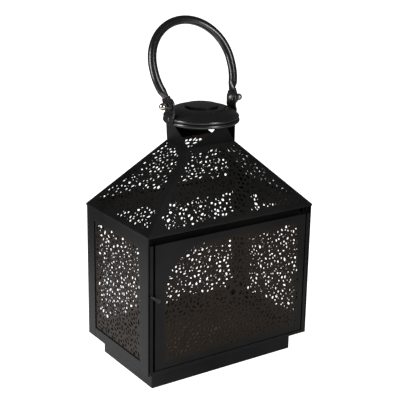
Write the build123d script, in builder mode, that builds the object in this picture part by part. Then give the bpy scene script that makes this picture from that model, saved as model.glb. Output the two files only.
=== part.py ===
"""Punched tin lantern: a pierced box with a hinged door, a hip roof, a spun cap and a bail.

Millimetres, +Z up. X runs along the door, the door faces -Y, and the origin is on the
table, under the middle of the body.
"""

import os
from math import asin, atan2, ceil, cos, degrees, hypot, radians, sin, sqrt, tan

from build123d import *

os.makedirs("parts", exist_ok=True)

# Stock thicknesses
SHEET = 0.5
STRIP = 1.0
DOOR_SHEET = 0.6
FLOOR_T = 1.0

# Body and plinth
BODY_W = 185.0
BODY_D = 114.0
WALL_H = 134.6
PLINTH_H = 19.8
PLINTH_INSET = 11.3
PLINTH_FOOT = 6.0
POST_FLANGE = 14.0
BACK_FLANGE = 9.0
CORNER_R = 0.6
JAMB_FACE = 5.3
SEAM_W = 1.0
SEAM_DEPTH = 3.0
SIDE_TOP_RAIL = 13.4
SIDE_BOTTOM_RAIL = 9.2
FRONT_TOP_RAIL = 1.0
FRONT_BOTTOM_RAIL = 2.4
PANEL_LAP = 5.0

# Door
DOOR_LATCH_GAP = 2.4
DOOR_HINGE_GAP = 1.1
DOOR_TOP_GAP = 7.8
DOOR_BOTTOM_GAP = 0.5
DOOR_SET_BACK = 0.3
DOOR_DEPTH = 4.0
DOOR_BAR = 5.0
DOOR_EDGE_R = 0.4
DOOR_BORDER_LATCH = 9.5
DOOR_BORDER_HINGE = 5.0
DOOR_BORDER_TOP = 6.2
DOOR_BORDER_BOTTOM = 6.0
DOOR_PLAIN_CORNER = 22.0
STOP_GAP = 0.3
STOP_LAP = 5.0

# Door hinge rod
HINGE_R = 1.2
HINGE_INSET = 2.3
HINGE_CLEAR = 0.05
HINGE_TAIL = 0.6
HINGE_COLLAR_R = 2.2

# Latch: a turn button on a pin in the door's stile
LATCH_INSET = 3.0
LATCH_UP = 69.4
LATCH_T = 1.2
LATCH_LENGTH = 10.0
LATCH_EYE_R = 1.9
LATCH_TIP_R = 0.75
LATCH_STAND_OFF = 0.4
LATCH_PLAY = 0.1
LATCH_REST_ANGLE = 37.0
PIN_R = 0.9
PIN_CLEAR = 0.05
PIN_HEAD_R = 1.4
PIN_HEAD_T = 0.5
PIN_BORE = 2.4

# Roof
ROOF_RISE = 63.0
ROOF_TOP_W = 52.6
ROOF_TOP_D = 37.4
HEM_H = 1.8
HEM_T = 0.4
HEM_ROUND = 0.3
ROOF_BORDER = 4.5
HIP_BORDER = 6.5
TRIM = 3.0

# Neck tabs
NECK_RISE = 18.9
SIDE_TAB_TOP = 15.8
FRONT_TAB_TOP = 11.0
TAB_INSET = 0.1

# Cap
RIM_R = 34.15
LOWER_BEAD = 2.0
UPPER_BEAD = 1.55
RIM_WALL = 1.2
CAP_SHEET = 0.9
DOME_RISE = 6.9
DOME_TOP_R = 16.4
DOME_BULGE = 2.3
BUTTON_R = 15.6
BUTTON_EDGE = 1.9
BUTTON_H = 2.6

# Ears
EAR_W = 14.0
EAR_T = 1.5
EAR_GAP = 0.1
EAR_SINK = 1.45
EAR_FOOT_RISE = 0.3
EAR_JOG = 1.1
EAR_JOG_H = 2.5
EAR_JOG_RISE = 8.7
RIVET_R = 1.2
RIVET_HEAD_R = 2.2
RIVET_HEAD_T = 1.2
RIVET_RISE = 5.55

# Bail and its pivots
PIVOT_RISE = 18.2
BOLT_R = 2.0
BOLT_CLEAR = 0.05
BOLT_HEAD_R = 3.9
BOLT_HEAD_T = 2.4
BALL_R = 3.4
BALL_NECK_R = 2.9
BALL_NECK_L = 2.0
BALL_BORE = 4.4
BAIL_PLAY = 0.3
BAIL_LEAN = 25.2
BAIL_HALF = 43.3
BAIL_SIDE_RISE = 32.8
BAIL_STRAIGHT = 3.4
BAIL_LEG_R = 50.0
BAIL_LEG_START = 14.0
ROD_R = 4.1
EYE_R = 5.4
EYE_T = 3.2
EYE_TONGUE = 5.2
EYE_SHOULDER = 0.6

# Piercing: flowers on a triangular grid, each turned by its own angle
FLOWER_PITCH = 20.5
FLOWER_TURN = 137.5
HEART_R = 1.9
SEEDS = 6
SEED_RING = 4.6
SEED_R = 1.5
PETALS = 6
PETAL_RING = 8.3
PETAL_LONG = 3.0
PETAL_WIDE = 1.35
FILL_R = 1.35
PIERCE_EDGE = 2.4

# One large heart in the door, with plain sheet round it
DOOR_HEART_R = 3.0
DOOR_HEART_X = 1.0
DOOR_HEART_UP = 59.7
DOOR_HEART_CLEAR = 6.8

# Smallest and largest hole of a sheet, as a share of the sizes above: the punch is struck by hand
WALL_STRIKES = (0.80, 1.08)
DOOR_STRIKES = (0.62, 1.00)
ROOF_STRIKES = (0.74, 1.08)
STRIKE_STEP = 0.618

# Heights
FLOOR_Z = PLINTH_H + FLOOR_T
EAVE_Z = FLOOR_Z + WALL_H
NECK_Z = EAVE_Z + ROOF_RISE
CAP_Z = NECK_Z + NECK_RISE
BEAD_Z = CAP_Z + 2 * LOWER_BEAD
RIM_TOP_Z = BEAD_Z + 2 * UPPER_BEAD
DOME_Z = RIM_TOP_Z + DOME_RISE
PIVOT_Z = CAP_Z + PIVOT_RISE
RIVET_Z = CAP_Z + RIVET_RISE
RAIL_LOW_Z = FLOOR_Z + FRONT_BOTTOM_RAIL
RAIL_HIGH_Z = EAVE_Z - FRONT_TOP_RAIL
DOOR_LOW_Z = RAIL_LOW_Z + DOOR_BOTTOM_GAP
DOOR_HIGH_Z = RAIL_HIGH_Z - DOOR_TOP_GAP
WINDOW_LOW_Z = FLOOR_Z + SIDE_BOTTOM_RAIL
WINDOW_HIGH_Z = EAVE_Z - SIDE_TOP_RAIL
LATCH_Z = DOOR_LOW_Z + LATCH_UP
DOOR_HEART_Z = DOOR_LOW_Z + DOOR_HEART_UP

# Plan positions
HALF_W = BODY_W / 2
HALF_D = BODY_D / 2
INNER_W = HALF_W - STRIP
INNER_D = HALF_D - STRIP
JAMB_X = HALF_W - JAMB_FACE
DOOR_LEFT_X = DOOR_LATCH_GAP - JAMB_X
DOOR_RIGHT_X = JAMB_X - DOOR_HINGE_GAP
DOOR_FRONT_Y = DOOR_SET_BACK - HALF_D
DOOR_INSIDE_Y = DOOR_FRONT_Y + DOOR_SHEET
DOOR_BACK_Y = DOOR_FRONT_Y + DOOR_DEPTH
SEAM_BACK_Y = SEAM_DEPTH - HALF_D
STOP_FRONT_Y = DOOR_BACK_Y + STOP_GAP
STOP_BACK_Y = STOP_FRONT_Y + STRIP
STOP_X = DOOR_LEFT_X + STOP_LAP
HINGE_X = DOOR_RIGHT_X - HINGE_INSET
HINGE_Y = (DOOR_INSIDE_Y + DOOR_BACK_Y) / 2
HINGE_SWING = hypot(HINGE_INSET, DOOR_BACK_Y - HINGE_Y)
STOP_END_X = HINGE_X - HINGE_SWING - STOP_GAP
LATCH_X = DOOR_LEFT_X + LATCH_INSET
LATCH_BACK_Y = -HALF_D - LATCH_STAND_OFF
LATCH_FRONT_Y = LATCH_BACK_Y - LATCH_T
EAVE_HALF_W = HALF_W + HEM_T
EAVE_HALF_D = HALF_D + HEM_T
EAR_LOW_X = RIM_R + LOWER_BEAD - EAR_SINK
EAR_X = EAR_LOW_X - EAR_JOG
EYE_X = EAR_X + EAR_T + BAIL_PLAY
NUT_X = EYE_X + EYE_T + BAIL_PLAY


def save(part, name):
    """Label a finished piece and write it under its own name."""
    part.label = name
    export_step(part, f"parts/{name}.step")


def span(u, v):
    """Rectangle in the open sketch between two pairs of limits, given in either order."""
    with Locations(((u[0] + u[1]) / 2, (v[0] + v[1]) / 2)):
        Rectangle(abs(u[1] - u[0]), abs(v[1] - v[0]))


def bar(x, y, z):
    """Square-edged bar between three pairs of limits."""
    with BuildPart() as piece:
        with BuildSketch(Plane.XY.offset(z[0])):
            span(x, y)
        extrude(amount=z[1] - z[0])
    return piece.part


def upright(origin, inward):
    """Wall plane at a point: its normal points into the lantern and its own Y is up."""
    return Plane(origin, x_dir=Vector(0, 0, 1).cross(Vector(inward)), z_dir=inward)


def crown_radius(half_width, height):
    """Radius of a round crown of a given half width and height."""
    return (half_width**2 + height**2) / (2 * height)


def mirrored(x_limits, side):
    """A pair of X limits on the left (side -1) or the right (side 1)."""
    return [side * limit for limit in x_limits]


# Piercing
def flower(x, y, turn):
    """Holes of one flower: centre, half length, half width and direction of each."""
    holes = [(x, y, HEART_R, HEART_R, 0)]
    for k in range(SEEDS):
        a = radians(turn + (k + 0.5) * 360 / SEEDS)
        holes.append((x + SEED_RING * cos(a), y + SEED_RING * sin(a), SEED_R, SEED_R, 0))
    for k in range(PETALS):
        a = radians(turn + k * 360 / PETALS)
        across = degrees(a) + 90
        holes.append((x + PETAL_RING * cos(a), y + PETAL_RING * sin(a), PETAL_LONG, PETAL_WIDE, across))
    for side in (-1, 1):
        holes.append((x, y + side * FLOWER_PITCH / sqrt(3), FILL_R, FILL_R, 0))
    return holes


def hole_wire(x, y, half_length, half_width, direction, size):
    """Outline of one hole, round or oval, at a share of its full size."""
    place = Plane((x, y, 0)).rotated((0, 0, direction))
    if half_length == half_width:
        return Wire.make_circle(half_length * size, place)
    return Wire.make_ellipse(half_length * size, half_width * size, place)


def piercing(allowed, half_x, half_y, strikes):
    """Outlines of all the flower holes whose centres are allowed, round a middle flower."""
    row_pitch = FLOWER_PITCH * sqrt(3) / 2
    rows = ceil(half_y / row_pitch) + 1
    columns = ceil(half_x / FLOWER_PITCH) + 1
    wires = []
    count = 0
    for row in range(-rows, rows + 1):
        for column in range(-columns, columns + 1):
            x = (column + (row % 2) / 2) * FLOWER_PITCH
            for k, hole in enumerate(flower(x, row * row_pitch, count * FLOWER_TURN)):
                if allowed(hole[0], hole[1]):
                    force = (len(wires) * STRIKE_STEP) % 1
                    size = strikes[0] + (strikes[1] - strikes[0]) * force if k else 1
                    wires.append(hole_wire(*hole, size))
            count += 1
    return wires


def box_piercing(half_x, half_y, strikes):
    """Piercing of a rectangle about its middle."""
    edge_x = half_x - PIERCE_EDGE
    edge_y = half_y - PIERCE_EDGE

    def allowed(x, y):
        return abs(x) < edge_x and abs(y) < edge_y

    return piercing(allowed, half_x, half_y, strikes)


# Plinth strips, folded inwards at the foot, and the floor plate
PLINTH_HALF_W = HALF_W - PLINTH_INSET
PLINTH_HALF_D = HALF_D - PLINTH_INSET

for side, name in ((-1, "plinth_front"), (1, "plinth_back")):
    with BuildPart() as plinth:
        with BuildSketch(Plane.YZ):
            outer = side * PLINTH_HALF_D
            span((outer, outer - side * STRIP), (0, PLINTH_H))
        extrude(amount=PLINTH_HALF_W, both=True)
        with BuildSketch(Plane.YZ):
            span((outer, outer - side * PLINTH_FOOT), (0, STRIP))
        extrude(amount=PLINTH_HALF_W - STRIP, both=True)
    save(plinth.part, name)

for side, name in ((-1, "plinth_left"), (1, "plinth_right")):
    with BuildPart() as plinth:
        with BuildSketch(Plane.XZ):
            outer = side * PLINTH_HALF_W
            span((outer, outer - side * STRIP), (0, PLINTH_H))
        extrude(amount=PLINTH_HALF_D - STRIP, both=True)
        with BuildSketch(Plane.XZ):
            span((outer, outer - side * PLINTH_FOOT), (0, STRIP))
        extrude(amount=PLINTH_HALF_D - PLINTH_FOOT, both=True)
    save(plinth.part, name)

save(bar((-HALF_W, HALF_W), (-HALF_D, HALF_D), (PLINTH_H, FLOOR_Z)), "floor_plate")

# Front corner posts: round-edged side flange, set-back seam, jamb, and a stop on the latch side
for side, name in ((-1, "post_front_left"), (1, "post_front_right")):
    with BuildPart() as post:
        with BuildSketch(Plane.XY.offset(FLOOR_Z)):
            span(mirrored((INNER_W, HALF_W), side), (-HALF_D, POST_FLANGE - HALF_D))
        extrude(amount=WALL_H)
        corner = (side * HALF_W, -HALF_D, FLOOR_Z)
        fillet(edges().filter_by(Axis.Z).sort_by_distance(corner)[0], CORNER_R)
        with BuildSketch(Plane.XY.offset(RAIL_LOW_Z)):
            span(mirrored((JAMB_X, INNER_W), side), (SEAM_BACK_Y, SEAM_BACK_Y + STRIP))
            span(mirrored((JAMB_X, JAMB_X + STRIP), side), (SEAM_BACK_Y, STOP_BACK_Y))
            if side < 0:
                span((-JAMB_X, STOP_X), (STOP_FRONT_Y, STOP_BACK_Y))
        extrude(amount=RAIL_HIGH_Z - RAIL_LOW_Z)
        with BuildSketch(Plane.XY.offset(RAIL_LOW_Z)):
            span(mirrored((JAMB_X, INNER_W - SEAM_W), side), (-HALF_D, -INNER_D))
            span(mirrored((JAMB_X, JAMB_X + STRIP), side), (-HALF_D, SEAM_BACK_Y))
        extrude(amount=DOOR_HIGH_Z - RAIL_LOW_Z)
    save(post.part, name)

# Back corner posts
for side, name in ((-1, "post_back_left"), (1, "post_back_right")):
    with BuildPart() as post:
        with BuildSketch(Plane.XY.offset(FLOOR_Z)):
            span(mirrored((INNER_W, HALF_W), side), (HALF_D - POST_FLANGE, HALF_D))
            span(mirrored((HALF_W - BACK_FLANGE, HALF_W), side), (INNER_D, HALF_D))
        extrude(amount=WALL_H)
        corner = (side * HALF_W, HALF_D, FLOOR_Z)
        fillet(edges().filter_by(Axis.Z).sort_by_distance(corner)[0], CORNER_R)
    save(post.part, name)

# Front rails: face, return over or under the door, and the door stop short of the hinge
for up, name in ((True, "rail_front_top"), (False, "rail_front_bottom")):
    return_z = RAIL_HIGH_Z if up else RAIL_LOW_Z
    plate_z = return_z + STRIP if up else return_z - STRIP
    face_z = EAVE_Z if up else FLOOR_Z
    stop_z = DOOR_HIGH_Z - STOP_LAP if up else DOOR_LOW_Z + STOP_LAP
    with BuildPart() as rail:
        with BuildSketch(Plane.YZ):
            span((-HALF_D, -INNER_D), (return_z, face_z))
            span((-HALF_D, STOP_BACK_Y), (return_z, plate_z))
        extrude(amount=INNER_W, both=True)
        with BuildSketch(Plane.XZ.offset(-STOP_BACK_Y)):
            span((STOP_X, STOP_END_X), (stop_z, plate_z))
            if up:
                span((STOP_END_X, JAMB_X), (DOOR_HIGH_Z + STOP_GAP, plate_z))
        extrude(amount=STRIP)
        with BuildSketch(Plane.XY.offset(min(return_z, plate_z))):
            with Locations((HINGE_X, HINGE_Y)):
                Circle(HINGE_R + HINGE_CLEAR)
        extrude(amount=STRIP, mode=Mode.SUBTRACT)
    save(rail.part, name)

# Plain borders over and under the pierced walls
WINDOW_HALF_D = HALF_D - POST_FLANGE
WINDOW_HALF_W = HALF_W - BACK_FLANGE
BORDERS = {"top": (WINDOW_HIGH_Z, EAVE_Z), "bottom": (FLOOR_Z, WINDOW_LOW_Z)}

for level, z in BORDERS.items():
    for side, name in ((-1, "left"), (1, "right")):
        x = mirrored((INNER_W, HALF_W), side)
        depth = (POST_FLANGE - HALF_D, WINDOW_HALF_D)
        save(bar(x, depth, z), f"rail_{name}_{level}")
    save(bar((-WINDOW_HALF_W, WINDOW_HALF_W), (INNER_D, HALF_D), z), f"rail_back_{level}")

# Pierced wall panels, lapped behind the borders
WINDOW_MID_Z = (WINDOW_LOW_Z + WINDOW_HIGH_Z) / 2
WINDOW_HALF_H = (WINDOW_HIGH_Z - WINDOW_LOW_Z) / 2
WALLS = {
    "panel_left": ((-INNER_W, 0, WINDOW_MID_Z), (1, 0, 0), WINDOW_HALF_D),
    "panel_right": ((INNER_W, 0, WINDOW_MID_Z), (-1, 0, 0), WINDOW_HALF_D),
    "panel_back": ((0, INNER_D, WINDOW_MID_Z), (0, -1, 0), WINDOW_HALF_W),
}

for name, (origin, inward, half) in WALLS.items():
    outline = Wire.make_rect(2 * (half + PANEL_LAP), 2 * (WINDOW_HALF_H + PANEL_LAP))
    face = Face(outline, box_piercing(half, WINDOW_HALF_H, WALL_STRIKES))
    with BuildPart() as panel:
        extrude(upright(origin, inward).from_local_coords(face), amount=SHEET, dir=inward, clean=False)
    save(panel.part, name)

# Roof sheets: each is trimmed level at the eave and the neck, and butted at the hips
SIDE_RUN = EAVE_HALF_W - ROOF_TOP_W / 2
FRONT_RUN = EAVE_HALF_D - ROOF_TOP_D / 2


def slope(outward, eave, run):
    """Outer plane of a roof sheet: its own Y climbs from the middle of the eave."""
    climb = Vector(-outward[0] * run, -outward[1] * run, ROOF_RISE)
    normal = Vector(outward[0] * ROOF_RISE, outward[1] * ROOF_RISE, run)
    origin = (outward[0] * eave, outward[1] * eave, EAVE_Z)
    return Plane(origin, x_dir=climb.cross(normal), z_dir=normal)


SLOPES = {
    "left": slope((-1, 0), EAVE_HALF_W, SIDE_RUN),
    "right": slope((1, 0), EAVE_HALF_W, SIDE_RUN),
    "front": slope((0, -1), EAVE_HALF_D, FRONT_RUN),
    "back": slope((0, 1), EAVE_HALF_D, FRONT_RUN),
}


def roof_sheet(name, run, eave_half, top_half, hips):
    """Pierced sheet on one slope, cut along the two planes given as its hips."""
    climb = hypot(run, ROOF_RISE)

    def allowed(x, y):
        share = y / climb + 0.5
        half = eave_half + (top_half - eave_half) * share
        return abs(y) < climb / 2 - ROOF_BORDER and abs(x) < half - HIP_BORDER

    middle = Plane((0, climb / 2, 0))
    outline = Wire.make_rect(2 * (eave_half + TRIM), climb + 2 * TRIM)
    holes = piercing(allowed, eave_half, climb / 2, ROOF_STRIKES)
    face = SLOPES[name].from_local_coords(middle.from_local_coords(Face(outline, holes)))
    with BuildPart() as sheet:
        extrude(face, amount=SHEET, dir=-SLOPES[name].z_dir, clean=False)
        split(bisect_by=Plane.XY.offset(EAVE_Z), keep=Keep.TOP)
        split(bisect_by=Plane.XY.offset(NECK_Z), keep=Keep.BOTTOM)
        for hip in hips:
            split(bisect_by=hip, keep=Keep.BOTTOM)
    return sheet.part


HEM_Z = (EAVE_Z - HEM_H, EAVE_Z)
OUTER_HIPS = (SLOPES["front"], SLOPES["back"])
INNER_HIPS = (SLOPES["left"].offset(-SHEET), SLOPES["right"].offset(-SHEET))


def rolled_hem(x, y):
    """Hem under an eave, with its outer lower edge rolled round."""
    with BuildPart() as hem:
        add(bar(x, y, HEM_Z))
        low_edges = edges().group_by(Axis.Z)[0]
        fillet(low_edges.sort_by_distance((0, 0, HEM_Z[0]))[1], HEM_ROUND)
    return hem.part


for side, name in ((-1, "left"), (1, "right")):
    hem = rolled_hem(mirrored((HALF_W, EAVE_HALF_W), side), (-EAVE_HALF_D, EAVE_HALF_D))
    with BuildPart() as roof:
        add(roof_sheet(name, SIDE_RUN, EAVE_HALF_D, ROOF_TOP_D / 2, OUTER_HIPS))
        add(hem)
    save(roof.part, f"roof_{name}")

for side, name in ((-1, "front"), (1, "back")):
    hem = rolled_hem((-HALF_W, HALF_W), mirrored((HALF_D, EAVE_HALF_D), side))
    with BuildPart() as roof:
        add(roof_sheet(name, FRONT_RUN, EAVE_HALF_W, ROOF_TOP_W / 2, INNER_HIPS))
        add(hem)
    save(roof.part, f"roof_{name}")

# Neck tabs: they flare from the roof's top edges to the cap and narrow as they climb
TAB_REACH = RIM_R - TAB_INSET
SIDE_SHEET_W = SHEET * hypot(SIDE_RUN, ROOF_RISE) / ROOF_RISE


def neck_tab(section, face, side, foot, foot_half, top_half):
    """Tab standing on the roof edge at a distance foot from the middle."""
    lean = (TAB_REACH - foot) / NECK_RISE
    level_t = SHEET * hypot(1, lean)
    with BuildPart() as tab:
        with BuildSketch(section):
            Polygon(
                (side * foot, NECK_Z),
                (side * TAB_REACH, CAP_Z),
                (side * (TAB_REACH - level_t), CAP_Z),
                (side * (foot - level_t), NECK_Z),
                align=None,
            )
        extrude(amount=foot_half, both=True)
        with BuildSketch(face):
            Polygon(
                (-foot_half, NECK_Z),
                (foot_half, NECK_Z),
                (top_half, CAP_Z),
                (-top_half, CAP_Z),
                align=None,
            )
        extrude(amount=TAB_REACH, both=True, mode=Mode.INTERSECT)
    return tab.part


for side, name in ((-1, "neck_left"), (1, "neck_right")):
    save(neck_tab(Plane.XZ, Plane.YZ, side, ROOF_TOP_W / 2, ROOF_TOP_D / 2, SIDE_TAB_TOP / 2), name)

NECK_FRONT_HALF = ROOF_TOP_W / 2 - SIDE_SHEET_W

for side, name in ((-1, "neck_front"), (1, "neck_back")):
    save(neck_tab(Plane.YZ, Plane.XZ, side, ROOF_TOP_D / 2, NECK_FRONT_HALF, FRONT_TAB_TOP / 2), name)

# Flats in the cap's rim that the two ears are let into
SEAT_X = (EAR_LOW_X - EAR_GAP, RIM_R + LOWER_BEAD)
SEAT_Y = (-EAR_W / 2 - EAR_GAP, EAR_W / 2 + EAR_GAP)

ear_seats = [bar(mirrored(SEAT_X, side), SEAT_Y, (CAP_Z, RIM_TOP_Z)) for side in (-1, 1)]

# Cap base: flat underside with the lower bead round its rim
with BuildPart() as cap_base:
    with BuildSketch(Plane.XZ):
        with BuildLine():
            Line((0, CAP_Z), (RIM_R, CAP_Z))
            ThreePointArc((RIM_R, CAP_Z), (RIM_R + LOWER_BEAD, CAP_Z + LOWER_BEAD), (RIM_R, BEAD_Z))
            Polyline(
                (RIM_R, BEAD_Z),
                (RIM_R - RIM_WALL, BEAD_Z),
                (RIM_R - RIM_WALL, CAP_Z + CAP_SHEET),
                (0, CAP_Z + CAP_SHEET),
                (0, CAP_Z),
            )
        make_face()
    revolve(axis=Axis.Z)
    add(ear_seats, mode=Mode.SUBTRACT)
save(cap_base.part, "cap_base")

# Cap dome: upper bead, bulging shoulder and flat top, with a hole for each ear's rivet
with BuildPart() as cap_dome:
    with BuildSketch(Plane.XZ):
        with BuildLine():
            ThreePointArc((RIM_R, BEAD_Z), (RIM_R + UPPER_BEAD, BEAD_Z + UPPER_BEAD), (RIM_R, RIM_TOP_Z))
            SagittaArc((DOME_TOP_R, DOME_Z), (RIM_R, RIM_TOP_Z), DOME_BULGE)
            Polyline(
                (DOME_TOP_R, DOME_Z),
                (0, DOME_Z),
                (0, DOME_Z - CAP_SHEET),
                (DOME_TOP_R, DOME_Z - CAP_SHEET),
            )
            SagittaArc(
                (DOME_TOP_R, DOME_Z - CAP_SHEET),
                (RIM_R - RIM_WALL, RIM_TOP_Z - CAP_SHEET),
                DOME_BULGE,
            )
            Polyline((RIM_R - RIM_WALL, RIM_TOP_Z - CAP_SHEET), (RIM_R - RIM_WALL, BEAD_Z), (RIM_R, BEAD_Z))
        make_face()
    revolve(axis=Axis.Z)
    with BuildSketch(Plane.YZ):
        with Locations((0, RIVET_Z)):
            Circle(RIVET_R)
    extrude(amount=RIM_R + UPPER_BEAD, both=True, mode=Mode.SUBTRACT)
    add(ear_seats, mode=Mode.SUBTRACT)
save(cap_dome.part, "cap_dome")

# Raised disc in the middle of the cap
with BuildPart() as cap_button:
    with BuildSketch(Plane.XZ):
        with BuildLine():
            Polyline(
                (0, DOME_Z + BUTTON_H),
                (0, DOME_Z),
                (BUTTON_R, DOME_Z),
                (BUTTON_R, DOME_Z + BUTTON_EDGE),
            )
            RadiusArc(
                (0, DOME_Z + BUTTON_H),
                (BUTTON_R, DOME_Z + BUTTON_EDGE),
                crown_radius(BUTTON_R, BUTTON_H - BUTTON_EDGE),
            )
        make_face()
    revolve(axis=Axis.Z)
save(cap_button.part, "cap_button")

# Ears: straps let into the rim below that step in above it, round at both ends
EAR_FOOT_Z = CAP_Z + EAR_FOOT_RISE
JOG_Z = CAP_Z + EAR_JOG_RISE
JOG_SHIFT = EAR_T * tan(atan2(EAR_JOG, EAR_JOG_H) / 2)
EAR_TOP_Z = PIVOT_Z + EAR_W / 2

with BuildPart() as ear:
    with BuildSketch(Plane.XZ):
        Polygon(
            (EAR_LOW_X, EAR_FOOT_Z),
            (EAR_LOW_X, JOG_Z),
            (EAR_X, JOG_Z + EAR_JOG_H),
            (EAR_X, EAR_TOP_Z),
            (EAR_X + EAR_T, EAR_TOP_Z),
            (EAR_X + EAR_T, JOG_Z + EAR_JOG_H + JOG_SHIFT),
            (EAR_LOW_X + EAR_T, JOG_Z + JOG_SHIFT),
            (EAR_LOW_X + EAR_T, EAR_FOOT_Z),
            align=None,
        )
    extrude(amount=EAR_W / 2, both=True)
    with BuildSketch(Plane.YZ):
        with Locations((0, (EAR_FOOT_Z + EAR_TOP_Z) / 2)):
            SlotOverall(EAR_TOP_Z - EAR_FOOT_Z, EAR_W, rotation=90)
        with Locations((0, PIVOT_Z)):
            Circle(BOLT_R, mode=Mode.SUBTRACT)
        with Locations((0, RIVET_Z)):
            Circle(RIVET_R, mode=Mode.SUBTRACT)
    extrude(amount=EAR_LOW_X + EAR_T, mode=Mode.INTERSECT)
save(ear.part, "ear_right")

with BuildPart() as ear_left:
    mirror(ear.part, about=Plane.YZ)
save(ear_left.part, "ear_left")

# Ear rivets, through the strap and the upper bead
RIVET_X = EAR_LOW_X + EAR_T

with BuildPart() as ear_rivets:
    with BuildSketch(Plane.XZ):
        with BuildLine():
            Polyline(
                (RIVET_X, RIVET_Z + RIVET_HEAD_R),
                (RIVET_X, RIVET_Z + RIVET_R),
                (RIM_R - RIM_WALL, RIVET_Z + RIVET_R),
                (RIM_R - RIM_WALL, RIVET_Z),
                (RIVET_X + RIVET_HEAD_T, RIVET_Z),
            )
            RadiusArc(
                (RIVET_X, RIVET_Z + RIVET_HEAD_R),
                (RIVET_X + RIVET_HEAD_T, RIVET_Z),
                crown_radius(RIVET_HEAD_R, RIVET_HEAD_T),
            )
        make_face()
    revolve(axis=Axis((0, 0, RIVET_Z), (1, 0, 0)))
    mirror(about=Plane.YZ)
save(ear_rivets.part, "ear_rivets")

# Pivot bolts: dome head inside the ear, shank through the bail's eye into the ball nut
BOLT_END_X = NUT_X + BALL_BORE

with BuildPart() as pivot_bolts:
    with BuildSketch(Plane.XZ):
        with BuildLine():
            RadiusArc(
                (EAR_X - BOLT_HEAD_T, PIVOT_Z),
                (EAR_X, PIVOT_Z + BOLT_HEAD_R),
                crown_radius(BOLT_HEAD_R, BOLT_HEAD_T),
            )
            Polyline(
                (EAR_X, PIVOT_Z + BOLT_HEAD_R),
                (EAR_X, PIVOT_Z + BOLT_R),
                (BOLT_END_X, PIVOT_Z + BOLT_R),
                (BOLT_END_X, PIVOT_Z),
                (EAR_X - BOLT_HEAD_T, PIVOT_Z),
            )
        make_face()
    revolve(axis=Axis((0, 0, PIVOT_Z), (1, 0, 0)))
    mirror(about=Plane.YZ)
save(pivot_bolts.part, "pivot_bolts")

# Ball nuts: a short neck against the bail's eye and a ball with a blind bore
BALL_SEAT_X = NUT_X + BALL_NECK_L
BALL_X = BALL_SEAT_X + sqrt(BALL_R**2 - BALL_NECK_R**2)

with BuildPart() as ball_nuts:
    with BuildSketch(Plane.XZ):
        with BuildLine():
            Polyline(
                (BALL_X + BALL_R, PIVOT_Z),
                (BOLT_END_X, PIVOT_Z),
                (BOLT_END_X, PIVOT_Z + BOLT_R),
                (NUT_X, PIVOT_Z + BOLT_R),
                (NUT_X, PIVOT_Z + BALL_NECK_R),
                (BALL_SEAT_X, PIVOT_Z + BALL_NECK_R),
            )
            ThreePointArc(
                (BALL_SEAT_X, PIVOT_Z + BALL_NECK_R),
                (BALL_X, PIVOT_Z + BALL_R),
                (BALL_X + BALL_R, PIVOT_Z),
            )
        make_face()
    revolve(axis=Axis((0, 0, PIVOT_Z), (1, 0, 0)))
    mirror(about=Plane.YZ)
save(ball_nuts.part, "ball_nuts")

# Bail: half of it is drawn upright, mirrored, and then leaned back about its pivots
SIDE_Z = PIVOT_Z + BAIL_SIDE_RISE
CROWN_Z = SIDE_Z + BAIL_STRAIGHT
LEG_DROP = degrees(asin((BAIL_SIDE_RISE - BAIL_LEG_START) / BAIL_LEG_R))
EYE_MID_X = EYE_X + EYE_T / 2
SHOULDER_Z = PIVOT_Z + EAR_W / 2 + EYE_SHOULDER

with BuildPart() as bail:
    with BuildLine(Plane.XZ) as bow:
        CenterArc((0, CROWN_Z), BAIL_HALF, 90, -90)
        Line((BAIL_HALF, CROWN_Z), (BAIL_HALF, SIDE_Z))
        CenterArc((BAIL_HALF - BAIL_LEG_R, SIDE_Z), BAIL_LEG_R, 0, -LEG_DROP)
    with BuildSketch(Plane.YZ):
        with Locations((0, CROWN_Z + BAIL_HALF)):
            Circle(ROD_R)
    sweep(path=bow.line)
    with BuildSketch(Plane(bow.line @ 1, z_dir=bow.line % 1)):
        Circle(ROD_R)
    with BuildSketch(Plane.XY.offset(SHOULDER_Z)):
        with Locations((EYE_MID_X, 0)):
            Ellipse(EYE_T / 2, EYE_TONGUE)
    loft()
    with BuildSketch(Plane.YZ.offset(EYE_X)):
        with Locations((0, PIVOT_Z)):
            Circle(EYE_R)
        span((-EYE_TONGUE, EYE_TONGUE), (PIVOT_Z, SHOULDER_Z + EYE_SHOULDER))
        with Locations((0, PIVOT_Z)):
            Circle(BOLT_R + BOLT_CLEAR, mode=Mode.SUBTRACT)
    extrude(amount=EYE_T)
    mirror(about=Plane.YZ)
save(bail.part.rotate(Axis((0, 0, PIVOT_Z), (1, 0, 0)), -BAIL_LEAN), "bail")

# Door sheet: pierced but for its upper latch corner, with a rounded front edge and a hole for the latch pivot
PIERCE_X = (DOOR_LEFT_X + DOOR_BORDER_LATCH, DOOR_RIGHT_X - DOOR_BORDER_HINGE)
PIERCE_Z = (DOOR_LOW_Z + DOOR_BORDER_BOTTOM, DOOR_HIGH_Z - DOOR_BORDER_TOP)
PIERCE_MID_X = sum(PIERCE_X) / 2
PIERCE_MID_Z = sum(PIERCE_Z) / 2
PIERCE_HALF_X = PIERCE_X[1] - PIERCE_MID_X
PIERCE_HALF_Z = PIERCE_Z[1] - PIERCE_MID_Z
HEART_LOCAL = (PIERCE_MID_X - DOOR_HEART_X, DOOR_HEART_Z - PIERCE_MID_Z)
DOOR_MID_X = (DOOR_LEFT_X + DOOR_RIGHT_X) / 2
DOOR_MID_Z = (DOOR_LOW_Z + DOOR_HIGH_Z) / 2


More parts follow.
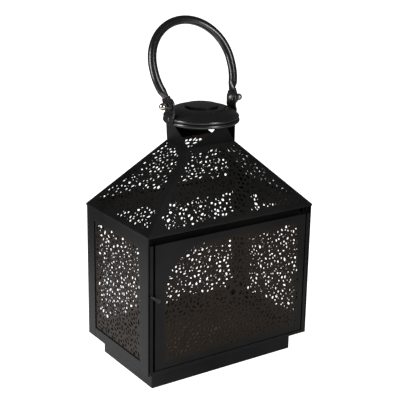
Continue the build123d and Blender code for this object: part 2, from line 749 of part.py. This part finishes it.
def pierced_door(x, y):
    """Whether a flower hole may lie here: off the border, the plain corner and the large heart's ring."""
    edge_x = PIERCE_HALF_X - PIERCE_EDGE
    edge_y = PIERCE_HALF_Z - PIERCE_EDGE
    off_corner = x + y < edge_x + edge_y - DOOR_PLAIN_CORNER
    off_heart = hypot(x - HEART_LOCAL[0], y - HEART_LOCAL[1]) > DOOR_HEART_CLEAR
    return abs(x) < edge_x and abs(y) < edge_y and off_corner and off_heart


door_plane = upright((PIERCE_MID_X, DOOR_FRONT_Y, PIERCE_MID_Z), (0, 1, 0))
door_middle = Plane((PIERCE_MID_X - DOOR_MID_X, DOOR_MID_Z - PIERCE_MID_Z, 0))
door_outline = Wire.make_rect(DOOR_RIGHT_X - DOOR_LEFT_X, DOOR_HIGH_Z - DOOR_LOW_Z, door_middle)
door_holes = piercing(pierced_door, PIERCE_HALF_X, PIERCE_HALF_Z, DOOR_STRIKES)
heart_hole = Wire.make_circle(DOOR_HEART_R, Plane((*HEART_LOCAL, 0)))
pivot_hole = Wire.make_circle(PIN_R, Plane((PIERCE_MID_X - LATCH_X, LATCH_Z - PIERCE_MID_Z, 0)))
door_face = door_plane.from_local_coords(Face(door_outline, door_holes + [heart_hole, pivot_hole]))

with BuildPart() as door_sheet:
    extrude(door_face, amount=DOOR_SHEET, dir=(0, 1, 0), clean=False)
    fillet(faces().sort_by(Axis.Y)[0].outer_wire().edges(), DOOR_EDGE_R)
save(door_sheet.part, "door_sheet")

# Door edge bars, with the rod's bore in the hinge stile and the latch pin's in the other
DOOR_Y = (DOOR_INSIDE_Y, DOOR_BACK_Y)
DOOR_Z = (DOOR_LOW_Z, DOOR_HIGH_Z)
BAR_X = (DOOR_LEFT_X + DOOR_BAR, DOOR_RIGHT_X - DOOR_BAR)

with BuildPart() as latch_stile:
    add(bar((DOOR_LEFT_X, BAR_X[0]), DOOR_Y, DOOR_Z))
    with BuildSketch(Plane((LATCH_X, DOOR_INSIDE_Y, LATCH_Z), x_dir=(1, 0, 0), z_dir=(0, 1, 0))):
        Circle(PIN_R)
    extrude(amount=PIN_BORE, mode=Mode.SUBTRACT)
save(latch_stile.part, "door_stile_latch")

save(bar(BAR_X, DOOR_Y, (DOOR_HIGH_Z - DOOR_BAR, DOOR_HIGH_Z)), "door_rail_top")
save(bar(BAR_X, DOOR_Y, (DOOR_LOW_Z, DOOR_LOW_Z + DOOR_BAR)), "door_rail_bottom")

with BuildPart() as hinge_stile:
    with BuildSketch(Plane.XY.offset(DOOR_LOW_Z)):
        span((BAR_X[1], DOOR_RIGHT_X), DOOR_Y)
        with Locations((HINGE_X, HINGE_Y)):
            Circle(HINGE_R, mode=Mode.SUBTRACT)
    extrude(amount=DOOR_HIGH_Z - DOOR_LOW_Z)
save(hinge_stile.part, "door_stile_hinge")

# Hinge rod: its ends turn in the front rails, and its collar carries the door
ROD_LOW_Z = RAIL_LOW_Z - STRIP - HINGE_TAIL
ROD_HIGH_Z = RAIL_HIGH_Z + STRIP + HINGE_TAIL

with BuildPart() as hinge_rod:
    with BuildSketch(Plane.XY.offset(ROD_LOW_Z)):
        with Locations((HINGE_X, HINGE_Y)):
            Circle(HINGE_R)
    extrude(amount=ROD_HIGH_Z - ROD_LOW_Z)
    with BuildSketch(Plane.XY.offset(RAIL_LOW_Z)):
        with Locations((HINGE_X, HINGE_Y)):
            Circle(HINGE_COLLAR_R)
    extrude(amount=DOOR_BOTTOM_GAP)
save(hinge_rod.part, "hinge_rod")


# Latch pivot: a headed pin with a shoulder on the door, fast in the stile
PIVOT_HEAD_Y = LATCH_FRONT_Y - LATCH_PLAY
PIVOT_STEPS = (
    (PIVOT_HEAD_Y - PIN_HEAD_T, PIVOT_HEAD_Y, PIN_HEAD_R),
    (PIVOT_HEAD_Y, DOOR_INSIDE_Y + PIN_BORE, PIN_R),
    (LATCH_BACK_Y + LATCH_PLAY, DOOR_FRONT_Y, PIN_HEAD_R),
)

with BuildPart() as latch_pivot:
    for start, end, radius in PIVOT_STEPS:
        with BuildSketch(Plane((LATCH_X, start, LATCH_Z), x_dir=(1, 0, 0), z_dir=(0, 1, 0))):
            Circle(radius)
        extrude(amount=end - start)
save(latch_pivot.part, "latch_pivot")

# Latch button: it tapers from the eye on its pin to a tip that laps the jamb
arm_direction = (-cos(radians(LATCH_REST_ANGLE)), 0, sin(radians(LATCH_REST_ANGLE)))

with BuildPart() as latch_button:
    with BuildSketch(Plane((LATCH_X, LATCH_FRONT_Y, LATCH_Z), x_dir=arm_direction, z_dir=(0, 1, 0))):
        Circle(LATCH_EYE_R)
        with Locations((LATCH_LENGTH, 0)):
            Circle(LATCH_TIP_R)
        make_hull()
        Circle(PIN_R + PIN_CLEAR, mode=Mode.SUBTRACT)
    extrude(amount=LATCH_T)
save(latch_button.part, "latch_button")
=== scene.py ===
"""Looks of the punched tin lantern: a finish for every piece, a pale floor, soft light and the camera."""

import math

import bpy
from mathutils import Matrix, Vector


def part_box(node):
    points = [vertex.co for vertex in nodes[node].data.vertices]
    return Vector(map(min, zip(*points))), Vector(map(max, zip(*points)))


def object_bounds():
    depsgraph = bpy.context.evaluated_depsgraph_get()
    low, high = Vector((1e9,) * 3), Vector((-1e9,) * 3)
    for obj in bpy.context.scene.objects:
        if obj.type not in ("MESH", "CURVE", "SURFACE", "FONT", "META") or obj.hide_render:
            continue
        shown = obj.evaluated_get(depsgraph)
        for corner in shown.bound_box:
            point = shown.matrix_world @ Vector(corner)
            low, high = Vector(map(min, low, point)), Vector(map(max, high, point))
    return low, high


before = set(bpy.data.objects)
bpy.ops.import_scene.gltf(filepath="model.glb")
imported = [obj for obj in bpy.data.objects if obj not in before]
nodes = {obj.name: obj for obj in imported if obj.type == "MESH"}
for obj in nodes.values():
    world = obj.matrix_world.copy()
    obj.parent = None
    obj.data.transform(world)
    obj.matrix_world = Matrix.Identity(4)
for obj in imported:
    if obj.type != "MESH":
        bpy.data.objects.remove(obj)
cad_low, cad_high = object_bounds()

# Sizes, in metres
MM = 0.001
FOLD_RADIUS = 0.3 * MM
PIN_EDGE = 0.2 * MM
FACE_JOIN = 0.005 * MM
EDGE_SHEEN = 0.35 * MM
GRAIN_DEPTH = 0.1 * MM
WALL_MARGIN = 0.1 * MM
RECESS_DEPTH = 2 * MM
ROOF_DARKENING_HEIGHTS = (75 * MM, 135 * MM)
FIELD_SOFT = 5 * MM
DOOR_PLAIN_SIDES = 12 * MM
DOOR_PLAIN_ENDS = 9 * MM
DOOR_PLAIN_CORNER = (24 * MM, 34 * MM)
FLOOR_SIDE = 16.0

# Directions
LEFT, RIGHT = Vector((-1, 0, 0)), Vector((1, 0, 0))
FRONT, BACK = Vector((0, -1, 0)), Vector((0, 1, 0))
UP = Vector((0, 0, 1))
SIDES = {"left": LEFT, "right": RIGHT, "front": FRONT, "back": BACK}
SAME_WAY = 0.97
FOLD_ANGLE = 40.0

# Camera, at the photograph's viewing angle
VIEW_AZIMUTH = -34.18
VIEW_ELEVATION = 17.99
VIEW_DISTANCE = 1.0031
VIEW_ROLL = 1.0
VIEW_TARGET = Vector((0.0002, -0.0001, 0.1589))
LENS = 93.74
SENSOR = 36.0

# Colours, linear
BLACK_DEEP = (0.0036, 0.0037, 0.0036, 1)
BLACK_LIFTED = (0.0080, 0.0081, 0.0079, 1)
# Grey of rubbed edges, also the painted edge highlight along folds
WORN_GREY_SHEEN = (0.085, 0.083, 0.079, 1)
BLOOM_BROWN = (0.0135, 0.0092, 0.0062, 1)
ENAMEL_DEEP = (0.0030, 0.0031, 0.0028, 1)
ENAMEL_LIFTED = (0.0060, 0.0061, 0.0056, 1)
# Dead black that paints shade
SHADE_BLACK_DEEP = (0.0022, 0.0022, 0.0021, 1)
SHADE_BLACK_LIFTED = (0.0048, 0.0047, 0.0043, 1)
COPPER_DARK = (0.210, 0.138, 0.088, 1)
COPPER_LIGHT = (0.400, 0.260, 0.164, 1)
COPPER_DARKENED = (0.030, 0.022, 0.016, 1)
NICKEL = (0.66, 0.62, 0.54, 1)
NICKEL_DULL = (0.42, 0.38, 0.32, 1)
# Zinc of the pivot bolts, also used as painted shade on the right ball nut
ZINC_AND_NUT_SHADE = (0.30, 0.29, 0.27, 1)
ZINC_DULL_AND_NUT_SHADE = (0.17, 0.165, 0.155, 1)
STEEL_DARK = (0.012, 0.012, 0.0118, 1)
# Rubbed grey of the latch, also its painted highlight
STEEL_RUBBED_SHEEN = (0.046, 0.045, 0.043, 1)
FLOOR_PALE = (0.160, 0.160, 0.159, 1)
FLOOR_SHADE = (0.145, 0.145, 0.144, 1)
WHITE = (1, 1, 1, 1)

# Paints: tones, roughness from glossy to dull spots, shine, orange peel and wear of the edges with a painted
# edge highlight
SATIN = {
    "deep": BLACK_DEEP,
    "lifted": BLACK_LIFTED,
    "rough": (0.34, 0.44),
    "specular": 0.13,
    "peel": 0.16,
    "wear_and_sheen": 0.30,
}
ENAMEL = {
    "deep": ENAMEL_DEEP,
    "lifted": ENAMEL_LIFTED,
    "rough": (0.22, 0.30),
    "specular": 0.90,
    "peel": 0.05,
    "wear_and_sheen": 0.15,
}
# Dead matt black that paints shade on the front faces deep in the gaps round the door; the hinge rod has it
# too
SHADE_BLACK = {
    "deep": SHADE_BLACK_DEEP,
    "lifted": SHADE_BLACK_LIFTED,
    "rough": (0.70, 0.85),
    "specular": 0.03,
    "peel": 0.20,
    "wear_and_sheen": 0.10,
}

# Grain of the finishes, in features per metre
PEEL_GRAIN = 1500.0
DRIFT_GRAIN = 22.0
SPECKLE_GRAIN = 520.0
WEAR_SHEEN_GRAIN = 160.0
BLOOM_GRAIN = 60.0
BLOTCH_GRAIN = 45.0
SOOT_GRAIN = 14.0
LINING_GRAIN = 900.0
SCUFF_GRAIN = 700.0
RUB_SHEEN_GRAIN = 260.0
STEEL_GRAIN = 1300.0
FLOOR_GRAIN = 3.0

# Spans of the grain that turn into marks, from none to full
DRIFT_SPAN = (0.32, 0.68)
GLOSS_SPAN = (0.12, 0.40)
EDGE_TURN = (0.995, 0.80)
WEAR_SHEEN_SPAN = (0.42, 0.62)
BLOOM_SPAN = (0.35, 0.60)
BLOTCH_SPAN = (0.35, 0.65)
SOOT_SPAN = (0.48, 0.70)
SCUFF_SPAN = (0.50, 0.75)
RUB_SHEEN_SPAN = (0.40, 0.62)

# Strength of the marks
BLOOM_SHARE = (0.5, 1.0)
SOOT_CLOUDS = (0.0, 0.70)
ROOF_DARKENING = (0.0, 0.92)
LINING_ROUGH = (0.62, 0.48)
LINING_METAL = 0.35
LINING_BUMP = 0.15
STEEL_ROUGH = (0.48, 0.34)
STEEL_METAL = 0.6
STEEL_WEAR_SHEEN = 0.9
STEEL_BUMP = 0.2
NICKEL_ROUGH = (0.09, 0.26)
ZINC_ROUGH = (0.40, 0.55)

# Light
BODY_MIDDLE = (0, 0, 0.15)
SOFTBOX_WIDTH = 0.45
SOFTBOX_HEIGHT = 1.3
SOFTBOXES = {
    "left softbox": ((-1.45, 0.30, 0.75), 19.0),
    "front softbox": ((0.22, -1.6, 0.75), 16.0),
}
FLOOR_SHOWN = 1.35
FLOOR_GLOW = 1.15
FLOOR_FADES = (
    (RIGHT, (0.13, 0.28), 0.12),
    (BACK, (0.18, 0.36), 0.05),
    (LEFT, (0.42, 0.70), 0.08),
    (FRONT, (0.42, 0.70), 0.08),
)
FLOOR_ROUGH = 0.9
FLOOR_SPECULAR = 0.1
# Painted shadow of the lantern: the floor's glow is dimmer in a patch in front of the door
SHADE_MIDDLE = (0.03, -0.09, 0)
SHADE_REACH = (0.06, 0.15)
SHADE_DEPTH = 0.34
STUDIO_GLOW = 0.08
STUDIO_FILL = 0.25


# Node helpers
def feed(tree, socket, value):
    """Links an output socket to an input, or sets the input to a plain value."""
    if isinstance(value, bpy.types.NodeSocket):
        tree.links.new(value, socket)
    else:
        socket.default_value = value


def wire(tree, node, inputs):
    """Feeds a node's inputs by name."""
    for name, value in inputs.items():
        feed(tree, node.inputs[name], value)


def add_place(tree):
    """Place on the piece."""
    return tree.nodes.new("ShaderNodeTexCoord").outputs["Object"]


def add_noise(tree, place, scale, detail, roughness=0.5):
    """Noise texture over a place."""
    node = tree.nodes.new("ShaderNodeTexNoise")
    wire(tree, node, {"Vector": place, "Scale": scale, "Detail": detail, "Roughness": roughness})
    return node.outputs["Fac"]


def add_math(tree, operation, first, second):
    """Math node on two values."""
    node = tree.nodes.new("ShaderNodeMath")
    node.operation = operation
    for socket, operand in zip(node.inputs, (first, second)):
        feed(tree, socket, operand)
    return node.outputs["Value"]


def add_measure(tree, operation, first, second):
    """Dot product of two vectors, or distance between two places."""
    node = tree.nodes.new("ShaderNodeVectorMath")
    node.operation = operation
    for socket, operand in zip(node.inputs, (first, second)):
        feed(tree, socket, operand)
    return node.outputs["Value"]


def add_split(tree, place):
    """Separate XYZ node on a place."""
    node = tree.nodes.new("ShaderNodeSeparateXYZ")
    wire(tree, node, {"Vector": place})
    return node


def add_range(tree, value, from_low, from_high, to_low=0.0, to_high=1.0):
    """Map Range node, clamped."""
    node = tree.nodes.new("ShaderNodeMapRange")
    wire(tree, node, {"Value": value, "From Min": from_low, "From Max": from_high})
    wire(tree, node, {"To Min": to_low, "To Max": to_high})
    return node.outputs["Result"]


def add_mix(tree, factor, first, second):
    """Mix of two colours."""
    node = tree.nodes.new("ShaderNodeMix")
    node.data_type = "RGBA"
    feed(tree, node.inputs["Factor"], factor)
    for name, colour in (("A", first), ("B", second)):
        socket = next(s for s in node.inputs if s.name == name and s.type == "RGBA")
        feed(tree, socket, colour)
    return next(s for s in node.outputs if s.type == "RGBA")


def add_bump(tree, height, strength):
    """Bump node over a height."""
    node = tree.nodes.new("ShaderNodeBump")
    wire(tree, node, {"Height": height, "Strength": strength, "Distance": GRAIN_DEPTH})
    return node


def new_group(name, inputs, outputs):
    """Shader node group with value inputs and named outputs of the types given."""
    group = bpy.data.node_groups.new(name, "ShaderNodeTree")
    for socket, value in inputs.items():
        made = group.interface.new_socket(socket, in_out="INPUT", socket_type="NodeSocketFloat")
        made.default_value = value
    for socket, kind in outputs.items():
        group.interface.new_socket(socket, in_out="OUTPUT", socket_type=kind)
    return group, group.nodes.new("NodeGroupInput"), group.nodes.new("NodeGroupOutput")


def place_group(tree, group, **values):
    """A group node in a material, with its own input values."""
    node = tree.nodes.new("ShaderNodeGroup")
    node.node_tree = group
    for name, value in values.items():
        node.inputs[name.replace("_", " ").title()].default_value = value
    return node


def new_material(name):
    """Material with a Principled shader; returns it with its tree and shader node."""
    material = bpy.data.materials.new(name)
    material.use_nodes = True
    return material, material.node_tree, material.node_tree.nodes["Principled BSDF"]


# Effects that finishes share
def make_sprayed_coat():
    """Sprayed coat: fine orange peel, a slow drift in tone and a drift in gloss."""
    group, entry, out = new_group(
        "sprayed coat",
        {"Peel Scale": PEEL_GRAIN, "Drift Scale": DRIFT_GRAIN},
        {"Height": "NodeSocketFloat", "Tone": "NodeSocketFloat", "Gloss": "NodeSocketFloat"},
    )
    place = add_place(group)
    peel = add_noise(group, place, entry.outputs["Peel Scale"], 3.0)
    drift = add_noise(group, place, entry.outputs["Drift Scale"], 4.0, 0.6)
    speckle = add_noise(group, place, SPECKLE_GRAIN, 2.0)
    gloss = add_math(group, "MULTIPLY", drift, speckle)
    wire(
        group,
        out,
        {
            "Height": peel,
            "Tone": add_range(group, drift, *DRIFT_SPAN),
            "Gloss": add_range(group, gloss, *GLOSS_SPAN),
        },
    )
    return group


def make_rubbed_edges_sheen():
    """Rubbed edges: a broken mask along folds and cut edges, for rubbed-off paint and a painted edge
    highlight, and a softened normal there.
    """
    group, entry, out = new_group(
        "rubbed edges and sheen",
        {"Width": EDGE_SHEEN, "Amount": 0.5},
        {"Mask": "NodeSocketFloat", "Normal": "NodeSocketVector"},
    )
    rounded = group.nodes.new("ShaderNodeBevel")
    rounded.samples = 4
    wire(group, rounded, {"Radius": entry.outputs["Width"]})
    face = group.nodes.new("ShaderNodeNewGeometry").outputs["Normal"]
    turn = add_measure(group, "DOT_PRODUCT", rounded.outputs["Normal"], face)
    edge = add_range(group, turn, *EDGE_TURN)
    broken = add_range(group, add_noise(group, add_place(group), WEAR_SHEEN_GRAIN, 5.0, 0.65), *WEAR_SHEEN_SPAN)
    worn_sheen = add_math(group, "MULTIPLY", edge, broken)
    mask = add_math(group, "MULTIPLY", worn_sheen, entry.outputs["Amount"])
    wire(group, out, {"Mask": mask, "Normal": rounded.outputs["Normal"]})
    return group


def make_brown_bloom():
    """Brown bloom on the pierced sheets: a clouded mask."""
    group, entry, out = new_group("brown bloom", {"Cloud Scale": BLOOM_GRAIN}, {"Mask": "NodeSocketFloat"})
    cloud = add_noise(group, add_place(group), entry.outputs["Cloud Scale"], 4.0, 0.6)
    wire(group, out, {"Mask": add_range(group, cloud, *BLOOM_SPAN, *BLOOM_SHARE)})
    return group


SPRAYED_COAT = make_sprayed_coat()
RUBBED_EDGES_SHEEN = make_rubbed_edges_sheen()
BROWN_BLOOM = make_brown_bloom()


# Finishes
def bloom_all_over(tree):
    """Bloom mask over a whole sheet."""
    return place_group(tree, BROWN_BLOOM).outputs["Mask"]


def bloom_on_door(tree):
    """Bloom mask over the door's pierced field, clear of its plain borders and its plain corner."""
    low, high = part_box("door_sheet")
    field = {
        "X": (low.x + DOOR_PLAIN_SIDES, high.x - DOOR_PLAIN_SIDES),
        "Z": (low.z + DOOR_PLAIN_ENDS, high.z - DOOR_PLAIN_ENDS),
    }
    corner = (field["X"][0], low.y, field["Z"][1])
    place = add_place(tree)
    split = add_split(tree, place)
    mask = bloom_all_over(tree)
    for axis, (start, end) in field.items():
        after = add_range(tree, split.outputs[axis], start - FIELD_SOFT, start)
        before = add_range(tree, split.outputs[axis], end + FIELD_SOFT, end)
        mask = add_math(tree, "MULTIPLY", mask, add_math(tree, "MINIMUM", after, before))
    clear = add_range(tree, add_measure(tree, "DISTANCE", place, corner), *DOOR_PLAIN_CORNER)
    return add_math(tree, "MULTIPLY", mask, clear)


def make_paint(name, deep, lifted, rough, specular, peel, wear_and_sheen, bloom=None):
    """Black paint over tin: sprayed coat, grey metal on the rubbed folds and cut edges that also paints
    their highlight, and a bloom where one is given.
    """
    material, tree, shader = new_material(name)
    coat = place_group(tree, SPRAYED_COAT)
    # Grey along the rubbed edges: paint rubbed off, and a painted edge highlight
    edges = place_group(tree, RUBBED_EDGES_SHEEN, amount=wear_and_sheen)
    colour = add_mix(tree, coat.outputs["Tone"], deep, lifted)
    if bloom is not None:
        colour = add_mix(tree, bloom(tree), colour, BLOOM_BROWN)
    bump = add_bump(tree, coat.outputs["Height"], peel)
    wire(tree, bump, {"Normal": edges.outputs["Normal"]})
    wire(
        tree,
        shader,
        {
            "Base Color": add_mix(tree, edges.outputs["Mask"], colour, WORN_GREY_SHEEN),
            "Roughness": add_range(tree, coat.outputs["Gloss"], 0, 1, *rough),
            "Specular IOR Level": specular,
            "Normal": bump.outputs["Normal"],
        },
    )
    return material


def make_copper_lining():
    """Inside of the lantern: thin antique copper wash, blotched, with sooty clouds, and darker towards the
    roof.
    """
    material, tree, shader = new_material("antique copper lining")
    place = add_place(tree)
    blotch = add_range(tree, add_noise(tree, place, BLOTCH_GRAIN, 6.0, 0.65), *BLOTCH_SPAN)
    clouds = add_range(tree, add_noise(tree, place, SOOT_GRAIN, 3.0), *SOOT_SPAN, *SOOT_CLOUDS)
    # Darker towards the roof, by height
    under_roof = add_range(tree, add_split(tree, place).outputs["Z"], *ROOF_DARKENING_HEIGHTS, *ROOF_DARKENING)
    darkening = add_math(tree, "MAXIMUM", clouds, under_roof)
    copper = add_mix(tree, blotch, COPPER_DARK, COPPER_LIGHT)
    bump = add_bump(tree, add_noise(tree, place, LINING_GRAIN, 3.0), LINING_BUMP)
    wire(
        tree,
        shader,
        {
            "Base Color": add_mix(tree, darkening, copper, COPPER_DARKENED),
            "Roughness": add_range(tree, blotch, 0, 1, *LINING_ROUGH),
            "Metallic": LINING_METAL,
            "Normal": bump.outputs["Normal"],
        },
    )
    return material


def make_bare_metal(name, clean, scuffed, rough):
    """Unpainted plated metal with fine scuffs."""
    material, tree, shader = new_material(name)
    scuff = add_range(tree, add_noise(tree, add_place(tree), SCUFF_GRAIN, 4.0, 0.7), *SCUFF_SPAN)
    wire(
        tree,
        shader,
        {
            "Base Color": add_mix(tree, scuff, clean, scuffed),
            "Roughness": add_range(tree, scuff, 0, 1, *rough),
            "Metallic": 1.0,
        },
    )
    return material


def make_rubbed_sheen_steel():
    """Latch and its pin: blackened steel, rubbed grey by use, and lighter grey that paints the highlight the
    latch catches.
    """
    material, tree, shader = new_material("rubbed black steel with painted sheen")
    place = add_place(tree)
    edges = place_group(tree, RUBBED_EDGES_SHEEN, amount=STEEL_WEAR_SHEEN)
    # Grey rub patches and edges: rubbed steel, and a painted highlight that lightens the latch
    rub_sheen = add_range(tree, add_noise(tree, place, RUB_SHEEN_GRAIN, 5.0, 0.6), *RUB_SHEEN_SPAN)
    steel = add_mix(tree, rub_sheen, STEEL_DARK, STEEL_RUBBED_SHEEN)
    bump = add_bump(tree, add_noise(tree, place, STEEL_GRAIN, 3.0), STEEL_BUMP)
    wire(tree, bump, {"Normal": edges.outputs["Normal"]})
    wire(
        tree,
        shader,
        {
            "Base Color": add_mix(tree, edges.outputs["Mask"], steel, STEEL_RUBBED_SHEEN),
            "Roughness": add_range(tree, rub_sheen, 0, 1, *STEEL_ROUGH),
            "Metallic": STEEL_METAL,
            "Normal": bump.outputs["Normal"],
        },
    )
    return material


satin_paint = make_paint("satin black paint", **SATIN)
wall_paint = make_paint("bloomed wall paint", **SATIN, bloom=bloom_all_over)
door_paint = make_paint("bloomed door paint", **SATIN, bloom=bloom_on_door)
smooth_enamel = make_paint("smooth black enamel", **ENAMEL)
shade_black_paint = make_paint("painted shade black", **SHADE_BLACK)
copper_lining = make_copper_lining()
bright_nickel = make_bare_metal("bright nickel", NICKEL, NICKEL_DULL, NICKEL_ROUGH)
# Dull zinc for the pivot bolts; it also paints shade on the right ball nut
dull_zinc_and_nut_shade = make_bare_metal("dull zinc and shaded nut", ZINC_AND_NUT_SHADE, ZINC_DULL_AND_NUT_SHADE, ZINC_ROUGH)
rubbed_sheen_steel = make_rubbed_sheen_steel()

# Main finish of each piece, satin paint where none is named
PANELS = ("panel_left", "panel_right", "panel_back")
EARS = ("ear_left", "ear_right")
SPUN_AND_BENT = ("cap_base", "cap_dome", *EARS, "ear_rivets", "bail")
LATCH_PIECES = ("latch_button", "latch_pivot")
FINISHES = {
    "ball_nuts": bright_nickel,
    "pivot_bolts": dull_zinc_and_nut_shade,
    "hinge_rod": shade_black_paint,
    "door_sheet": door_paint,
    **dict.fromkeys(PANELS, wall_paint),
    **dict.fromkeys(LATCH_PIECES, rubbed_sheen_steel),
    **dict.fromkeys(SPUN_AND_BENT, smooth_enamel),
}

for name, piece in nodes.items():
    piece.data.materials.clear()
    piece.data.materials.append(FINISHES.get(name, satin_paint))
    for polygon in piece.data.polygons:
        polygon.material_index = 0

# Second finish on some faces: the lining inside, painted shade round the door, the button's top and the
# right nut's painted shade
WALL_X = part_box("panel_right")[1].x + WALL_MARGIN
WALL_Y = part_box("panel_back")[1].y + WALL_MARGIN
RECESS_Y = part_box("door_sheet")[0].y + RECESS_DEPTH
RECESS_PIECES = ("rail_front_top", "post_front_left", "post_front_right")


def roof_inward(node, outward):
    """Direction into the lantern, square to a roof sheet, from the sheet's own box."""
    low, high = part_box(node)
    across = high - low
    hem_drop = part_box("rail_left_top")[1].z - low.z
    rise = across.z - hem_drop
    run = across.x if outward.x else across.y
    return -Vector((outward.x * rise, outward.y * rise, run)).normalized()


def inside_directions():
    """Node to the directions that its inside faces look in."""
    faces = {
        "floor_plate": [UP],
        "door_sheet": [BACK],
        "post_back_left": [RIGHT, FRONT],
        "post_back_right": [LEFT, FRONT],
    }
    for side in ("left", "right", "back"):
        for node in (f"panel_{side}", f"rail_{side}_top", f"rail_{side}_bottom"):
            faces[node] = [-SIDES[side]]
    for side, outward in SIDES.items():
        faces[f"roof_{side}"] = [roof_inward(f"roof_{side}", outward)]
    return faces


def looks(face, directions):
    """Whether a face looks in one of these directions."""
    return any(face.normal.dot(way) > SAME_WAY for way in directions)


def inside_walls(face):
    """Whether a face is within the four walls."""
    return abs(face.center.x) < WALL_X and abs(face.center.y) < WALL_Y


def behind_door_face(face):
    """Whether a face is deep in the gaps round the door."""
    return face.center.y > RECESS_Y


def on_the_right(face):
    """Whether a face is right of the middle."""
    return face.center.x > 0


def coat_faces(node, finish, placed, directions=None):
    """Gives the faces of a node that are in a place, and look in these directions, a second finish."""
    mesh = nodes[node].data
    mesh.materials.append(finish)
    for polygon in mesh.polygons:
        if placed(polygon) and (directions is None or looks(polygon, directions)):
            polygon.material_index = 1


for name, directions in inside_directions().items():
    coat_faces(name, copper_lining, inside_walls, directions)
# Painted shade: the front faces deep in the gaps round the door get the dead matt black
for name in RECESS_PIECES:
    coat_faces(name, shade_black_paint, behind_door_face, [FRONT])
coat_faces("cap_button", smooth_enamel, inside_walls, [UP])
# Painted shade: the right ball nut in duller zinc, so it reads darker than the left
coat_faces("ball_nuts", dull_zinc_and_nut_shade, on_the_right)

# Rounded folds on the strips and bars
FOLDED = ("plinth", "post", "rail", "neck", "door_stile", "door_rail", "floor")


def round_folds(node, radius):
    """Joins a node's faces and rounds its sharp edges, without touching its own vertices."""
    piece = nodes[node]
    weld = piece.modifiers.new("join faces", "WELD")
    weld.merge_threshold = FACE_JOIN
    bevel = piece.modifiers.new("round folds", "BEVEL")
    bevel.width = radius
    bevel.segments = 2
    bevel.limit_method = "ANGLE"
    bevel.angle_limit = math.radians(FOLD_ANGLE)
    bevel.material = 0


for name in nodes:
    if name.startswith(FOLDED):
        round_folds(name, FOLD_RADIUS)
for name in LATCH_PIECES + EARS:
    round_folds(name, PIN_EDGE)


# Floor
def make_floor_material():
    """Pale light table: plain white to look at, dimmer towards its far ends in what it lights, and with a
    painted shadow of the lantern in front of the door.
    """
    material, tree, shader = new_material("pale floor")
    place = add_place(tree)
    cloud = add_noise(tree, place, FLOOR_GRAIN, 2.0)
    # Painted shadow: the glow dips in a patch in front of the door
    lit = add_range(tree, add_measure(tree, "DISTANCE", place, SHADE_MIDDLE), *SHADE_REACH, SHADE_DEPTH, 1.0)
    for way, span, far_share in FLOOR_FADES:
        fade = add_range(tree, add_measure(tree, "DOT_PRODUCT", place, way), *span, 1.0, far_share)
        lit = add_math(tree, "MULTIPLY", lit, fade)
    seen = tree.nodes.new("ShaderNodeLightPath").outputs["Is Camera Ray"]
    shown = add_math(tree, "MULTIPLY", seen, FLOOR_SHOWN)
    wire(
        tree,
        shader,
        {
            "Base Color": add_mix(tree, cloud, FLOOR_PALE, FLOOR_SHADE),
            "Roughness": FLOOR_ROUGH,
            "Specular IOR Level": FLOOR_SPECULAR,
            "Emission Color": WHITE,
            "Emission Strength": add_math(
                tree, "MAXIMUM", shown, add_math(tree, "MULTIPLY", lit, FLOOR_GLOW)
            ),
        },
    )
    return material


bpy.ops.object.select_all(action="DESELECT")
bpy.ops.mesh.primitive_plane_add(size=FLOOR_SIDE, location=(0, 0, cad_low.z))
floor = bpy.context.active_object
floor.name = "pale floor"
floor.data.materials.append(make_floor_material())


# Studio
def add_softbox(name, place, power):
    """Large soft area light at a place, turned to the lantern's body."""
    light = bpy.data.lights.new(name, "AREA")
    light.shape = "RECTANGLE"
    light.size = SOFTBOX_WIDTH
    light.size_y = SOFTBOX_HEIGHT
    light.energy = power
    lamp = bpy.data.objects.new(name, light)
    lamp.location = place
    lamp.rotation_euler = (Vector(BODY_MIDDLE) - Vector(place)).to_track_quat("-Z", "Y").to_euler()
    bpy.context.scene.collection.objects.link(lamp)


def make_studio():
    """Faint even glow all round, stronger on matt surfaces, so that it reaches the inside."""
    world = bpy.data.worlds.new("studio")
    world.use_nodes = True
    tree = world.node_tree
    matt = tree.nodes.new("ShaderNodeLightPath").outputs["Is Diffuse Ray"]
    fill = add_math(tree, "MULTIPLY", matt, STUDIO_FILL)
    strength = add_math(tree, "ADD", fill, STUDIO_GLOW)
    wire(tree, tree.nodes["Background"], {"Color": WHITE, "Strength": strength})
    return world


for name, (place, power) in SOFTBOXES.items():
    add_softbox(name, place, power)
bpy.context.scene.world = make_studio()
bpy.context.scene.view_settings.view_transform = "Standard"


# Camera
def add_camera():
    """Camera round the target by azimuth, elevation and distance, with a small roll."""
    azimuth = math.radians(VIEW_AZIMUTH)
    elevation = math.radians(VIEW_ELEVATION)
    away = Vector(
        (
            math.sin(azimuth) * math.cos(elevation),
            -math.cos(azimuth) * math.cos(elevation),
            math.sin(elevation),
        )
    )
    data = bpy.data.cameras.new("photograph")
    data.lens = LENS
    data.sensor_width = SENSOR
    camera = bpy.data.objects.new("photograph", data)
    turn = (-away).to_track_quat("-Z", "Y").to_matrix().to_4x4()
    roll = Matrix.Rotation(math.radians(VIEW_ROLL), 4, "Z")
    camera.matrix_world = Matrix.Translation(VIEW_TARGET + away * VIEW_DISTANCE) @ turn @ roll
    bpy.context.scene.collection.objects.link(camera)
    bpy.context.scene.camera = camera


add_camera()
